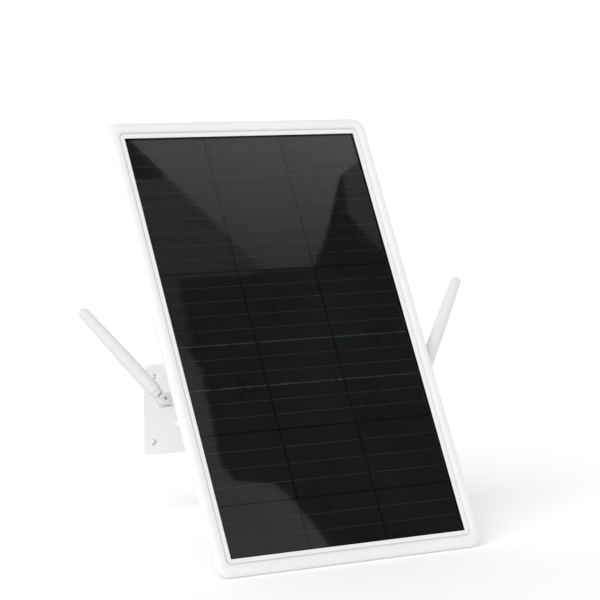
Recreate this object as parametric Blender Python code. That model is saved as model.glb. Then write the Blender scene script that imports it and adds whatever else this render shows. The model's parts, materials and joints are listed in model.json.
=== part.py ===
"""Wall-held solar panel with built-in wireless electronics and two folding antennas.

World frame: origin at the centre of the wall plate's rear face, +Y into the wall,
+X to the right and +Z up, in metres. The panel faces -Y and leans back by TILT.

Everything on the panel is modelled in panel coordinates (x, depth, height): x to the
right, depth back from the foremost plane of the frame, height up from its bottom edge.
"""
import math

import bmesh
import bpy
from mathutils import Vector

MM = 0.001
GAP = 0.3 * MM                      # clearance between pieces that touch

# ---- panel ---------------------------------------------------------------
PANEL_WIDTH = 350 * MM
PANEL_HEIGHT = 540 * MM
FRAME_BACK = 8.8 * MM               # depth of the frame's rear face
FRAME_RADIUS = 15 * MM              # outer corners
TILT = math.radians(27.5)           # lean back from upright at rest

GLASS_INSET = 15.4 * MM             # from the frame's outer edge
GLASS_FRONT = 3.9 * MM
GLASS_THICKNESS = 2.0 * MM
CELL_FRONT = 6.2 * MM
CELL_THICKNESS = 0.4 * MM
CELL_MARGIN = 20.6 * MM             # outer edge to the first cell
CELL_GAP = 1.5 * MM
CELL_COLUMNS = 3
CELL_ROW_SPLITS = (0.0, 0.1185, 0.2815, 0.666, 1.0)   # row boundaries, bottom to top
BACKSHEET_FRONT = 6.9 * MM
BACKSHEET_THICKNESS = 0.5 * MM

# ---- tilt joint and arm --------------------------------------------------
PIVOT_HEIGHT = 187 * MM             # tilt axis in panel coordinates
PIVOT_DEPTH = 90 * MM
ARM_REACH = 225 * MM                # wall to tilt axis
PAN_REACH = 42 * MM                 # wall to pan axis
BOLT_RADIUS = 4.0 * MM
BOLT_BORE = 4.4 * MM
TUBE_RADIUS = 17 * MM
TUBE_WALL = 3 * MM
LUG_RADIUS = 16 * MM
REAR_LUG_HALF = 16 * MM             # half height of the rear lug, along the pan bolt
FRONT_LUG_HALF = 12 * MM            # half width of the front lug, along the tilt bolt
EAR_THICKNESS = 6 * MM
EAR_RADIUS = 11 * MM

# ---- wall plate ----------------------------------------------------------
PLATE_SIZE = 110 * MM
PLATE_THICKNESS = 8 * MM
PLATE_RADIUS = 10 * MM
PLATE_HOLE_SPACING = 80 * MM
SCREW_SEAT_RADIUS = 4.3 * MM        # wide part of a screw hole, from the front
SCREW_SEAT_DEPTH = 5 * MM
SCREW_BORE = 2.6 * MM

# ---- rear cover and electronics housing ----------------------------------
COVER_INSET = 7 * MM                # from the frame's outer edge
COVER_BACK = 14 * MM
COVER_WALL = 2 * MM
HOUSING_HALF_WIDTH = 141 * MM
HOUSING_LOW = 110 * MM
HOUSING_HIGH = 300 * MM
HOUSING_FRONT = 15.1 * MM
HOUSING_BACK = 45 * MM
HOUSING_WALL = 2.5 * MM
HOUSING_RADIUS = 20 * MM
BOARD_CENTRE = (0.0, 255 * MM)      # x, height
BOARD_SIZE = (130 * MM, 62 * MM)
BOARD_DEPTH = (36 * MM, 37.6 * MM)
PORT_X = 60 * MM                    # charge socket and its cover
BUTTON_X = -60 * MM
LENS_X = -38 * MM
BOTTOM_ROW_DEPTH = 27 * MM          # depth of the pieces in the housing's bottom wall
PORT_PIN_RADIUS = 1.0 * MM
PORT_HINGE_DEPTH = BOTTOM_ROW_DEPTH + 11.5 * MM
PORT_HINGE_HEIGHT = HOUSING_LOW - 2.4 * MM
PORT_LUG_CENTRE = 8.5 * MM          # from the port's centre, along the hinge
PORT_LUG_HALF = 2.0 * MM

# ---- antennas ------------------------------------------------------------
ANTENNA_HEIGHT = 214.5 * MM
ANTENNA_DEPTH = 29.6 * MM
ANTENNA_PIVOT_X = 173.6 * MM
ANTENNA_LENGTH = 135 * MM           # fold axis to tip
ANTENNA_SPLAY = {"left": -math.radians(33.4), "right": math.radians(31.0)}
ANTENNA_TURN = {"left": 0.0, "right": math.radians(15.0)}   # swivel toward the front
SIDES = {"left": -1, "right": 1}
KNUCKLE_RADIUS = 6.5 * MM
KNUCKLE_HALF = 6.1 * MM             # half depth of the fork
TONGUE_HALF = 2.5 * MM
PIN_RADIUS = 1.6 * MM

FINISHES = {                        # colour, roughness, metallic
    "white_plastic": ((0.82, 0.83, 0.82), 0.38, 0.0),
    "white_coated_metal": ((0.79, 0.80, 0.80), 0.45, 0.0),
    "glass": ((0.03, 0.035, 0.04), 0.08, 0.0),
    "silicon": ((0.012, 0.014, 0.02), 0.25, 0.2),
    "black_film": ((0.01, 0.01, 0.012), 0.5, 0.0),
    "steel": ((0.62, 0.62, 0.63), 0.3, 1.0),
    "brass": ((0.8, 0.6, 0.28), 0.3, 1.0),
    "rubber": ((0.03, 0.03, 0.03), 0.8, 0.0),
    "grey_rubber": ((0.62, 0.63, 0.63), 0.7, 0.0),
    "circuit_board": ((0.02, 0.12, 0.05), 0.5, 0.0),
    "battery_wrap": ((0.05, 0.16, 0.4), 0.4, 0.0),
    "black_plastic": ((0.02, 0.02, 0.022), 0.5, 0.0),
    "lens": ((0.25, 0.5, 0.3), 0.15, 0.0),
}


# ---- scene helpers -------------------------------------------------------
def clear_scene():
    for item in list(bpy.data.objects):
        bpy.data.objects.remove(item, do_unlink=True)


def finish_material(node_name, finish):
    colour, roughness, metallic = FINISHES[finish]
    material = bpy.data.materials.new(node_name + "_" + finish)
    material.use_nodes = True
    shader = material.node_tree.nodes["Principled BSDF"]
    shader.inputs["Base Color"].default_value = (*colour, 1.0)
    shader.inputs["Roughness"].default_value = roughness
    shader.inputs["Metallic"].default_value = metallic
    return material


def add_empty(name, parent=None, location=(0, 0, 0), rotation=(0, 0, 0)):
    empty = bpy.data.objects.new(name, None)
    bpy.context.collection.objects.link(empty)
    empty.parent = parent
    empty.location = location
    empty.rotation_euler = rotation
    return empty


def mesh_from(name, vertices, faces):
    """A mesh with its faces turned outward, shaded smooth but for sharp edges."""
    mesh = bpy.data.meshes.new(name)
    shape = bmesh.new()
    corners = [shape.verts.new(point) for point in vertices]
    for face in faces:
        shape.faces.new([corners[index] for index in face])
    bmesh.ops.remove_doubles(shape, verts=shape.verts, dist=1e-6)
    bmesh.ops.recalc_face_normals(shape, faces=shape.faces)
    shape.to_mesh(mesh)
    shape.free()
    mesh.shade_smooth()
    mesh.set_sharp_from_angle(angle=math.radians(35))
    return mesh


def add_piece(name, mesh, finish, parent=None, location=(0, 0, 0), rotation=(0, 0, 0)):
    piece = bpy.data.objects.new(name, mesh)
    bpy.context.collection.objects.link(piece)
    piece.parent = parent
    piece.location = location
    piece.rotation_euler = rotation
    if finish:
        piece.data.materials.append(finish_material(name, finish))
    return piece


def combine(target, mesh, operation, location=(0, 0, 0), rotation=(0, 0, 0)):
    """Cut the mesh from the target, or join it on, with a hidden guide object."""
    guide = add_piece(target.name + "_" + operation.lower(), mesh, None,
                      target.parent, location, rotation)
    guide.hide_render = True
    guide.display_type = "WIRE"
    modifier = target.modifiers.new(operation.title(), "BOOLEAN")
    modifier.operation = operation
    modifier.solver = "EXACT"
    modifier.object = guide


def cut(target, mesh, location=(0, 0, 0), rotation=(0, 0, 0)):
    combine(target, mesh, "DIFFERENCE", location, rotation)


def join(target, mesh, location=(0, 0, 0), rotation=(0, 0, 0)):
    combine(target, mesh, "UNION", location, rotation)


# ---- shape helpers -------------------------------------------------------
def rounded_rectangle(half_x, half_z, radius, segments=8):
    """Points of a rounded rectangle about the origin, counter-clockwise."""
    points = []
    corners = ((1, 1, 0), (-1, 1, 90), (-1, -1, 180), (1, -1, 270))
    for sign_x, sign_z, start in corners:
        for step in range(segments + 1):
            angle = math.radians(start + 90 * step / segments)
            points.append((sign_x * (half_x - radius) + radius * math.cos(angle),
                           sign_z * (half_z - radius) + radius * math.sin(angle)))
    return points


def loft(name, rings, ring_shaped=False):
    """Join rings of equal point count; ends are capped, or joined if ring shaped."""
    count = len(rings[0])
    vertices = [point for ring in rings for point in ring]
    faces = []
    spans = len(rings) if ring_shaped else len(rings) - 1
    for row in range(spans):
        here = row * count
        there = ((row + 1) % len(rings)) * count
        for index in range(count):
            after = (index + 1) % count
            faces.append((here + index, here + after, there + after, there + index))
    if not ring_shaped:
        faces.append(tuple(range(count)))
        faces.append(tuple(range((len(rings) - 1) * count, len(rings) * count)))
    return mesh_from(name, vertices, faces)


def plate_ring(half_x, half_z, radius, depth, segments=6, centre_z=0.0):
    """A rounded rectangle in the X-Z plane at a depth along Y."""
    outline = rounded_rectangle(half_x, half_z, radius, segments)
    return [(x, depth, z + centre_z) for x, z in outline]


def prism(name, outline, low, high, edge=0.0):
    """Extrude an (x, z) outline along Y from low to high, with small chamfers."""
    centre_x = sum(point[0] for point in outline) / len(outline)
    centre_z = sum(point[1] for point in outline) / len(outline)
    reach = max(max(abs(x - centre_x), abs(z - centre_z)) for x, z in outline)
    shrink = 1.0 - edge / reach
    inner = [(centre_x + (x - centre_x) * shrink, centre_z + (z - centre_z) * shrink)
             for x, z in outline]
    stations = [(low, inner), (low + edge, outline), (high - edge, outline), (high, inner)]
    if edge == 0.0:
        stations = [(low, outline), (high, outline)]
    return loft(name, [[(x, y, z) for x, z in shape] for y, shape in stations])


def box(name, low, high):
    (x0, y0, z0), (x1, y1, z1) = low, high
    return prism(name, [(x0, z0), (x1, z0), (x1, z1), (x0, z1)], y0, y1)


def turned(name, profile, segments=24):
    """Turn a profile about Z. Items are (radius, z), or (apothem, z, 6) for a hexagon."""
    vertices, faces, rings = [], [], []
    for item in profile:
        radius, height = item[0], item[1]
        if radius == 0.0:
            rings.append([len(vertices)])
            vertices.append((0.0, 0.0, height))
            continue
        ring = []
        for step in range(segments):
            angle = 2 * math.pi * step / segments
            reach = radius
            if len(item) == 3:
                reach = radius / math.cos(angle % (math.pi / 3) - math.pi / 6)
            ring.append(len(vertices))
            vertices.append((reach * math.cos(angle), reach * math.sin(angle), height))
        rings.append(ring)
    pairs = list(zip(rings, rings[1:]))
    if profile[0][0] != 0.0:
        pairs.append((rings[-1], rings[0]))          # a ring with a bore
    for lower, upper in pairs:
        for step in range(segments):
            after = (step + 1) % segments
            if len(lower) == 1:
                faces.append((lower[0], upper[step], upper[after]))
            elif len(upper) == 1:
                faces.append((lower[step], lower[after], upper[0]))
            else:
                faces.append((lower[step], lower[after], upper[after], upper[step]))
    return mesh_from(name, vertices, faces)


def rod_mesh(name, radius, low, high, segments=16):
    return turned(name, [(0.0, low), (radius, low), (radius, high), (0.0, high)], segments)


def arc(centre, radius, start, end, steps):
    """Points on an arc in a plane, angles in degrees."""
    points = []
    for step in range(steps + 1):
        angle = math.radians(start + (end - start) * step / steps)
        points.append((centre[0] + radius * math.cos(angle),
                       centre[1] + radius * math.sin(angle)))
    return points


def eye_outline(radius, reach, half_width=None):
    """Round eye about the origin with a straight-sided neck running to +X by reach."""
    half_width = half_width or radius
    start = math.degrees(math.asin(half_width / radius))
    return arc((0, 0), radius, start, 360 - start, 14) + [(reach, -half_width),
                                                          (reach, half_width)]


ALONG_X = (0, math.radians(90), 0)           # turns +Z to +X
ALONG_MINUS_X = (0, math.radians(-90), 0)
ALONG_DEPTH = (math.radians(-90), 0, 0)      # turns +Z to +Y


# ---- fasteners -----------------------------------------------------------
def bolt_mesh(name, length):
    """Hexagon bolt: its head stands on z = 0 and the shank runs down."""
    apothem, height, chamfer = 6.5 * MM, 5.3 * MM, 0.7 * MM
    profile = [(0.0, -length), (BOLT_RADIUS - chamfer, -length),
               (BOLT_RADIUS, -length + chamfer), (BOLT_RADIUS, 0.0),
               (apothem, 0.0, 6), (apothem, height - chamfer, 6),
               (apothem - chamfer, height), (0.0, height)]
    return turned(name, profile, 18)


def nut_mesh(name):
    """Locking nut, bottom face on z = 0, with a round collar on top."""
    apothem, height, chamfer = 6.5 * MM, 6.2 * MM, 0.6 * MM
    profile = [(BOLT_BORE, 0.0), (apothem - chamfer, 0.0), (apothem, chamfer, 6),
               (apothem, height, 6), (apothem - chamfer, height),
               (apothem - 1.2 * MM, height + 1.6 * MM), (BOLT_BORE, height + 1.6 * MM)]
    return turned(name, profile, 18)


def washer_mesh(name):
    outer, thickness = 8.5 * MM, 1.4 * MM
    return turned(name, [(BOLT_BORE, 0.0), (outer, 0.0), (outer, thickness),
                         (BOLT_BORE, thickness)])


def screw_mesh(name, length, head_radius=3.6 * MM, shank_radius=1.7 * MM):
    """Button-head screw with a hexagon socket, head on z = 0, shank running down."""
    head, socket, socket_depth = 2.6 * MM, 1.25 * MM, 1.5 * MM
    profile = [(0.0, -length), (shank_radius, -length), (shank_radius, 0.0),
               (head_radius, 0.0), (head_radius, 0.9 * MM),
               (0.86 * head_radius, 1.9 * MM), (0.6 * head_radius, head),
               (socket, head, 6), (socket, head - socket_depth, 6),
               (0.0, head - socket_depth)]
    return turned(name, profile, 12)


# ---- wall plate and arm --------------------------------------------------
def screw_hole_mesh():
    """Stepped hole: the seat for a screw's head, then the bore for its shank."""
    reach = 2 * PLATE_THICKNESS
    step = SCREW_SEAT_DEPTH - PLATE_THICKNESS
    return turned("screw_hole", [
        (0.0, -reach), (SCREW_SEAT_RADIUS, -reach), (SCREW_SEAT_RADIUS, step),
        (SCREW_BORE, step), (SCREW_BORE, reach), (0.0, reach)], 18)


def build_wall_plate():
    """Square plate with four screw holes and a clevis that holds the arm."""
    half = PLATE_SIZE / 2
    edge = 1.6 * MM
    rings = [plate_ring(half, half, PLATE_RADIUS, 0.0),
             plate_ring(half, half, PLATE_RADIUS, -PLATE_THICKNESS + edge),
             plate_ring(half - 0.3 * edge, half - 0.3 * edge, PLATE_RADIUS - 0.3 * edge,
                        -PLATE_THICKNESS + 0.3 * edge),
             plate_ring(half - edge, half - edge, PLATE_RADIUS - edge, -PLATE_THICKNESS)]
    plate = add_piece("wall_plate", loft("wall_plate", rings), "white_coated_metal")
    inner = REAR_LUG_HALF + 2 * GAP
    ear_root = PAN_REACH - PLATE_THICKNESS + 2 * MM
    for sign in (-1, 1):
        low, high = sorted((sign * inner, sign * (inner + EAR_THICKNESS)))
        # the eye's axis is turned upright and its neck toward the wall
        ear = prism("ear", eye_outline(EAR_RADIUS, ear_root), low, high, 0.8 * MM)
        join(plate, ear, (0, -PAN_REACH, 0), (math.radians(90), 0, math.radians(90)))
        for x in (-1, 1):
            place = (x * PLATE_HOLE_SPACING / 2, 0, sign * PLATE_HOLE_SPACING / 2)
            cut(plate, screw_hole_mesh(), place, ALONG_DEPTH)
    cut(plate, rod_mesh("pan_bore", BOLT_BORE, -40 * MM, 40 * MM), (0, -PAN_REACH, 0))
    ear_top = inner + EAR_THICKNESS
    bolt = bolt_mesh("pan_bolt", 2 * ear_top + 11 * MM)
    add_piece("pan_bolt", bolt, "steel", None, (0, -PAN_REACH, ear_top + GAP))
    add_piece("pan_nut", nut_mesh("pan_nut"), "steel", None,
              (0, -PAN_REACH, -ear_top - GAP), (math.radians(180), 0, 0))


def build_arm():
    """Tube with a lug plugged into each end, turning on the pan bolt."""
    pan = add_empty("pan_axis", None, (0, -PAN_REACH, 0))
    reach = ARM_REACH - PAN_REACH             # pan axis to tilt axis, along -Y
    tube_start = 27 * MM                      # from either axis to the tube's end
    spigot = TUBE_RADIUS - TUBE_WALL - GAP
    spigot_depth = 14 * MM
    down = (math.radians(90), 0, 0)           # turns +Z to -Y, away from the wall

    tube = turned("arm_tube", [
        (TUBE_RADIUS - TUBE_WALL, tube_start), (TUBE_RADIUS - 0.8 * MM, tube_start),
        (TUBE_RADIUS, tube_start + 0.8 * MM),
        (TUBE_RADIUS, reach - tube_start - 0.8 * MM),
        (TUBE_RADIUS - 0.8 * MM, reach - tube_start),
        (TUBE_RADIUS - TUBE_WALL, reach - tube_start)], 32)
    add_piece("arm_tube", tube, "white_coated_metal", pan, (0, 0, 0), down)

    # each lug: its place on the arm, the turn that points it at the tube, and the turn
    # that lays its eye on the joint's axis with the neck toward the tube
    lugs = (("arm_rear_lug", 0.0, REAR_LUG_HALF, LUG_RADIUS, down,
             (math.radians(90), 0, math.radians(-90)), (0, 0, 0)),
            ("arm_front_lug", -reach, FRONT_LUG_HALF, LUG_RADIUS - 1 * MM,
             ALONG_DEPTH, (0, 0, math.radians(90)), ALONG_X))
    for name, place, half, radius, turn, eye_turn, bore_turn in lugs:
        collar_end = tube_start - GAP
        collar_start = collar_end - 5 * MM
        body = turned(name, [
            (0.0, collar_start), (TUBE_RADIUS - 1 * MM, collar_start),
            (TUBE_RADIUS, collar_start + 1 * MM), (TUBE_RADIUS, collar_end),
            (spigot, collar_end), (spigot, collar_end + spigot_depth),
            (0.0, collar_end + spigot_depth)], 32)
        lug = add_piece(name, body, "white_coated_metal", pan, (0, place, 0), turn)
        eye = prism("eye", eye_outline(radius, collar_start + 1 * MM), -half, half,
                    0.8 * MM)
        join(lug, eye, (0, place, 0), eye_turn)
        bore = rod_mesh("bore", BOLT_BORE, -30 * MM, 30 * MM)
        cut(lug, bore, (0, place, 0), bore_turn)


# ---- panel face ----------------------------------------------------------
def frame_ring(inset, depth, radius):
    half_x = PANEL_WIDTH / 2 - inset
    half_z = PANEL_HEIGHT / 2 - inset
    return plate_ring(half_x, half_z, radius, depth, 8, PANEL_HEIGHT / 2)


def build_front_frame(panel):
    """Moulded surround: flat strip by the window, a step up, and a rounded rim."""
    section = [                       # inset from the outer edge, depth, corner radius
        (19.5, 2.8, 0.5), (14.0, 2.6, 6.0), (12.6, 1.7, 6.8), (11.2, 0.6, 7.6),
        (10.0, 0.15, 8.4), (8.0, 0.0, 9.8), (6.2, 0.1, 11.0), (4.2, 0.7, 12.3),
        (2.3, 1.9, 13.5), (0.8, 3.6, 14.5), (0.0, 5.6, 15.0), (0.0, 7.4, 15.0),
        (0.9, 8.8, 14.1), (15.0, 8.8, 4.2), (15.0, 3.6, 4.2), (19.5, 3.6, 0.5)]
    rings = [frame_ring(inset * MM, depth * MM, radius * MM)
             for inset, depth, radius in section]
    frame = loft("front_frame", rings, ring_shaped=True)
    add_piece("front_frame", frame, "white_plastic", panel)


def build_laminate(panel):
    """Glass, twelve cells, backsheet, and the seal that beds them in the frame."""
    def sheet(name, front, thickness, finish):
        rings = [frame_ring(GLASS_INSET, front, 3.8 * MM),
                 frame_ring(GLASS_INSET, front + thickness, 3.8 * MM)]
        add_piece(name, loft(name, rings), finish, panel)

    sheet("solar_glass", GLASS_FRONT, GLASS_THICKNESS, "glass")
    sheet("backsheet", BACKSHEET_FRONT, BACKSHEET_THICKNESS, "black_film")

    seal_front = BACKSHEET_FRONT + BACKSHEET_THICKNESS + GAP
    seal_back = FRAME_BACK - 0.1 * MM
    rings = [frame_ring(GLASS_INSET, seal_front, 3.8 * MM),
             frame_ring(GLASS_INSET, seal_back, 3.8 * MM),
             frame_ring(GLASS_INSET + 4 * MM, seal_back, 1.5 * MM),
             frame_ring(GLASS_INSET + 4 * MM, seal_front, 1.5 * MM)]
    add_piece("laminate_seal", loft("laminate_seal", rings, True), "rubber", panel)

    field_width = PANEL_WIDTH - 2 * CELL_MARGIN
    field_height = PANEL_HEIGHT - 2 * CELL_MARGIN
    pitch = field_width / CELL_COLUMNS
    spans = list(zip(CELL_ROW_SPLITS, CELL_ROW_SPLITS[1:]))
    for row, (low, high) in enumerate(reversed(spans)):
        for column in range(CELL_COLUMNS):
            x0 = -field_width / 2 + column * pitch
            z0 = CELL_MARGIN + low * field_height
            z1 = CELL_MARGIN + high * field_height
            name = "solar_cell_%d_%d" % (row + 1, column + 1)
            half = CELL_GAP / 2
            cell = box(name, (x0 + half, CELL_FRONT, z0 + half),
                       (x0 + pitch - half, CELL_FRONT + CELL_THICKNESS, z1 - half))
            add_piece(name, cell, "silicon", panel)


# ---- rear cover and housing ----------------------------------------------
def pan_rings(half_x, half_z, radius, front, back, wall, fillet, centre_z):
    """Rings of a tray that is open toward the front, with a rounded rear edge."""
    rings = []
    for inset, turn in ((wall, -1), (0.0, 1)):
        skin_fillet = fillet - inset
        skin_back = back - inset
        side = []
        for step in range(5):
            angle = math.radians(90 * step / 4)
            shrink = inset + skin_fillet * (1 - math.cos(angle))
            depth = skin_back - skin_fillet * (1 - math.sin(angle))
            side.append(plate_ring(half_x - shrink, half_z - shrink,
                                   max(radius - shrink, 0.5 * MM), depth, 6, centre_z))
        side.insert(0, plate_ring(half_x - inset, half_z - inset, radius - inset, front,
                                  6, centre_z))
        rings.extend(side[::turn])
    return rings


def build_rear_cover(panel):
    rings = pan_rings(PANEL_WIDTH / 2 - COVER_INSET, PANEL_HEIGHT / 2 - COVER_INSET,
                      FRAME_RADIUS - 4 * MM, FRAME_BACK + GAP, COVER_BACK, COVER_WALL,
                      3 * MM, PANEL_HEIGHT / 2)
    cover = add_piece("rear_cover", loft("rear_cover", rings), "white_plastic", panel)
    rib_half, rib_width, rib_height = 140 * MM, 1.6 * MM, 1.1 * MM
    below = [HOUSING_LOW - 24 * MM - step * 22 * MM for step in range(3)]
    above = [HOUSING_HIGH + 28 * MM + step * 34 * MM for step in range(6)]
    for height in below + above:
        rib = prism("rib", rounded_rectangle(rib_half, rib_width, rib_width * 0.9, 2),
                    COVER_BACK - 1 * MM, COVER_BACK + rib_height)
        join(cover, rib, (0, 0, height))
    lead_hole = rod_mesh("lead_hole", 9 * MM, 0, 30 * MM)
    cut(cover, lead_hole, (0, 0, BOARD_CENTRE[1] + 20 * MM), ALONG_DEPTH)
    for x, height in housing_screw_places():
        cut(cover, rod_mesh("screw_hole", 2.1 * MM, 0, 30 * MM), (x, 0, height),
            ALONG_DEPTH)


def housing_screw_places():
    inset = 16 * MM
    for x in (-1, 1):
        for height in (HOUSING_LOW + inset, HOUSING_HIGH - inset):
            yield x * (HOUSING_HALF_WIDTH - inset), height


def yoke_screw_places():
    for x in (-1, 1):
        for z in (-1, 1):
            yield x * 27 * MM, PIVOT_HEIGHT + z * 24 * MM


def build_housing(panel):
    """Electronics tray on the rear cover, with bosses, ports and hinge lugs."""
    middle = (HOUSING_LOW + HOUSING_HIGH) / 2
    half_height = (HOUSING_HIGH - HOUSING_LOW) / 2
    rings = pan_rings(HOUSING_HALF_WIDTH, half_height, HOUSING_RADIUS, HOUSING_FRONT,
                      HOUSING_BACK, HOUSING_WALL, 8 * MM, middle)
    shell = add_piece("housing_shell", loft("housing_shell", rings), "white_plastic", panel)

    inside = HOUSING_BACK - HOUSING_WALL + 0.6 * MM
    for x, height in housing_screw_places():
        boss = rod_mesh("boss", 4.6 * MM, HOUSING_FRONT, inside)
        join(shell, boss, (x, 0, height), ALONG_DEPTH)
        cut(shell, rod_mesh("screw_hole", 2.1 * MM, 0, 60 * MM), (x, 0, height),
            ALONG_DEPTH)
    for x in (-1, 1):
        for z in (-1, 1):
            place = (x * (BOARD_SIZE[0] / 2 - 6 * MM), 0,
                     BOARD_CENTRE[1] + z * (BOARD_SIZE[1] / 2 - 6 * MM))
            boss = rod_mesh("boss", 3.2 * MM, BOARD_DEPTH[1] + GAP, inside, 12)
            join(shell, boss, place, ALONG_DEPTH)
    for x, height in yoke_screw_places():
        cut(shell, rod_mesh("screw_hole", 2.1 * MM, 30 * MM, 60 * MM), (x, 0, height),
            ALONG_DEPTH)
    for sign in SIDES.values():
        place = (sign * HOUSING_HALF_WIDTH, ANTENNA_DEPTH, ANTENNA_HEIGHT)
        cut(shell, rod_mesh("jack_hole", 4.4 * MM, -9 * MM, 9 * MM), place, ALONG_X)

    # hinge lugs of the port cover, then everything that goes through the bottom wall
    for sign in (-1, 1):
        low = PORT_X + sign * PORT_LUG_CENTRE - PORT_LUG_HALF
        lug = prism("hinge_lug", rounded_rectangle(PORT_LUG_HALF, 3.2 * MM, 0.8 * MM, 3),
                    PORT_HINGE_DEPTH - 2.4 * MM, PORT_HINGE_DEPTH + 2.4 * MM)
        join(shell, lug, (low + PORT_LUG_HALF, 0, PORT_HINGE_HEIGHT + 1 * MM))
    cut(shell, rod_mesh("pin_hole", PORT_PIN_RADIUS + GAP, -13 * MM, 13 * MM),
        (PORT_X, PORT_HINGE_DEPTH, PORT_HINGE_HEIGHT), ALONG_X)
    for x, radius in ((PORT_X, 6.0 * MM), (BUTTON_X, 5.4 * MM), (LENS_X, 2.3 * MM),
                      (0.0, 4.4 * MM)):
        cut(shell, rod_mesh("port_hole", radius, -9 * MM, 9 * MM),
            (x, BOTTOM_ROW_DEPTH, HOUSING_LOW))

    seal_rings = []
    for inset, depth in ((0.6 * MM, COVER_BACK + GAP), (0.6 * MM, HOUSING_FRONT - GAP),
                         (2.2 * MM, HOUSING_FRONT - GAP), (2.2 * MM, COVER_BACK + GAP)):
        seal_rings.append(plate_ring(HOUSING_HALF_WIDTH - inset, half_height - inset,
                                     HOUSING_RADIUS - inset, depth, 6, middle))
    add_piece("housing_seal", loft("housing_seal", seal_rings, True), "rubber", panel)

    for number, (x, height) in enumerate(housing_screw_places(), 1):
        name = "housing_screw_%d" % number
        mesh = screw_mesh(name, HOUSING_BACK + GAP - (COVER_BACK - COVER_WALL) + 1 * MM)
        add_piece(name, mesh, "steel", panel, (x, HOUSING_BACK + GAP, height), ALONG_DEPTH)


# ---- pieces in the housing's bottom wall -----------------------------------
def build_bottom_row(panel):
    """Charge socket with its hinged cover, power button, vent and status lens."""
    wall = HOUSING_WALL
    bottom = (0, BOTTOM_ROW_DEPTH, HOUSING_LOW)

    socket = turned("charge_socket", [
        (0.0, wall + 12 * MM), (7.4 * MM, wall + 12 * MM), (7.4 * MM, wall + GAP),
        (5.6 * MM, wall + GAP), (5.6 * MM, 0.2 * MM), (2.8 * MM, 0.2 * MM),
        (2.8 * MM, wall + 9 * MM), (1.0 * MM, wall + 9 * MM), (1.0 * MM, wall),
        (0.0, wall)])
    add_piece("charge_socket", socket, "black_plastic", panel,
              (PORT_X, BOTTOM_ROW_DEPTH, HOUSING_LOW))

    hinge = add_empty("port_cover_axis", panel, (PORT_X, PORT_HINGE_DEPTH,
                                                 PORT_HINGE_HEIGHT))
    lid_centre = -(PORT_HINGE_DEPTH - BOTTOM_ROW_DEPTH)
    top = HOUSING_LOW - PORT_HINGE_HEIGHT - GAP
    lid = add_piece("port_cover", turned("port_cover", [
        (0.0, top - 2.6 * MM), (7.6 * MM, top - 2.6 * MM), (8.6 * MM, top - 1.8 * MM),
        (8.6 * MM, top), (0.0, top)]), "grey_rubber", hinge, (0, lid_centre, 0))
    strap_half = PORT_LUG_CENTRE - PORT_LUG_HALF - GAP
    strap = prism("strap", [(-strap_half, top - 2.6 * MM), (strap_half, top - 2.6 * MM),
                            (strap_half, top - 0.4 * MM), (-strap_half, top - 0.4 * MM)],
                  lid_centre + 5 * MM, 0.0)
    join(lid, strap)
    join(lid, rod_mesh("barrel", 2.0 * MM, -strap_half, strap_half, 20), (0, 0, 0), ALONG_X)
    cut(lid, rod_mesh("bore", PORT_PIN_RADIUS + GAP, -20 * MM, 20 * MM, 16), (0, 0, 0),
        ALONG_X)
    pin_half = PORT_LUG_CENTRE + PORT_LUG_HALF
    add_piece("port_cover_pin", rod_mesh("port_cover_pin", PORT_PIN_RADIUS, -pin_half,
                                         pin_half, 16), "steel", panel,
              (PORT_X, PORT_HINGE_DEPTH, PORT_HINGE_HEIGHT), ALONG_X)

    proud = 1.9 * MM
    button = turned("power_button", [
        (0.0, -proud), (3.6 * MM, -proud), (4.6 * MM, -proud + 0.4 * MM),
        (5.0 * MM, -proud + 1.0 * MM), (5.0 * MM, wall + GAP), (6.6 * MM, wall + GAP),
        (6.6 * MM, wall + 1.8 * MM), (2.0 * MM, wall + 1.8 * MM),
        (2.0 * MM, wall + 6 * MM), (0.0, wall + 6 * MM)])
    add_piece("power_button", button, "grey_rubber", panel,
              (BUTTON_X, bottom[1], bottom[2]))

    lens = turned("status_lens", [
        (0.0, -0.7 * MM), (1.2 * MM, -0.5 * MM), (2.0 * MM, 0.0), (2.0 * MM, wall + GAP),
        (3.2 * MM, wall + GAP), (3.2 * MM, wall + 2 * MM), (0.0, wall + 2 * MM)], 16)
    add_piece("status_lens", lens, "lens", panel, (LENS_X, bottom[1], bottom[2]))

    vent = turned("vent_plug", [
        (0.0, -2.2 * MM), (5.4 * MM, -2.2 * MM), (6.4 * MM, -1.4 * MM), (6.4 * MM, -GAP),
        (4.1 * MM, -GAP), (4.1 * MM, wall + 3 * MM), (0.0, wall + 3 * MM)])
    add_piece("vent_plug", vent, "black_plastic", panel, bottom)


# ---- electronics -----------------------------------------------------------
def smooth_route(points, steps=4):
    """Points along a Catmull-Rom curve through the route's own points."""
    route = [Vector(point) for point in points]
    ends = [2 * route[0] - route[1]] + route + [2 * route[-1] - route[-2]]
    curve = []
    for a, b, c, d in zip(ends, ends[1:], ends[2:], ends[3:]):
        for step in range(steps):
            t = step / steps
            curve.append(0.5 * (2 * b + (c - a) * t + (2 * a - 5 * b + 4 * c - d) * t * t
                                + (3 * b - a - 3 * c + d) * t ** 3))
    curve.append(route[-1])
    return curve


def add_lead(name, points, radius, finish, panel):
    curve = bpy.data.curves.new(name, "CURVE")
    curve.dimensions = "3D"
    curve.bevel_depth = radius
    curve.bevel_resolution = 2
    curve.use_fill_caps = True
    spline = curve.splines.new("POLY")
    route = smooth_route(points)
    spline.points.add(len(route) - 1)
    for point, place in zip(spline.points, route):
        point.co = (*place, 1.0)
    add_piece(name, curve, finish, panel)


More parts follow.
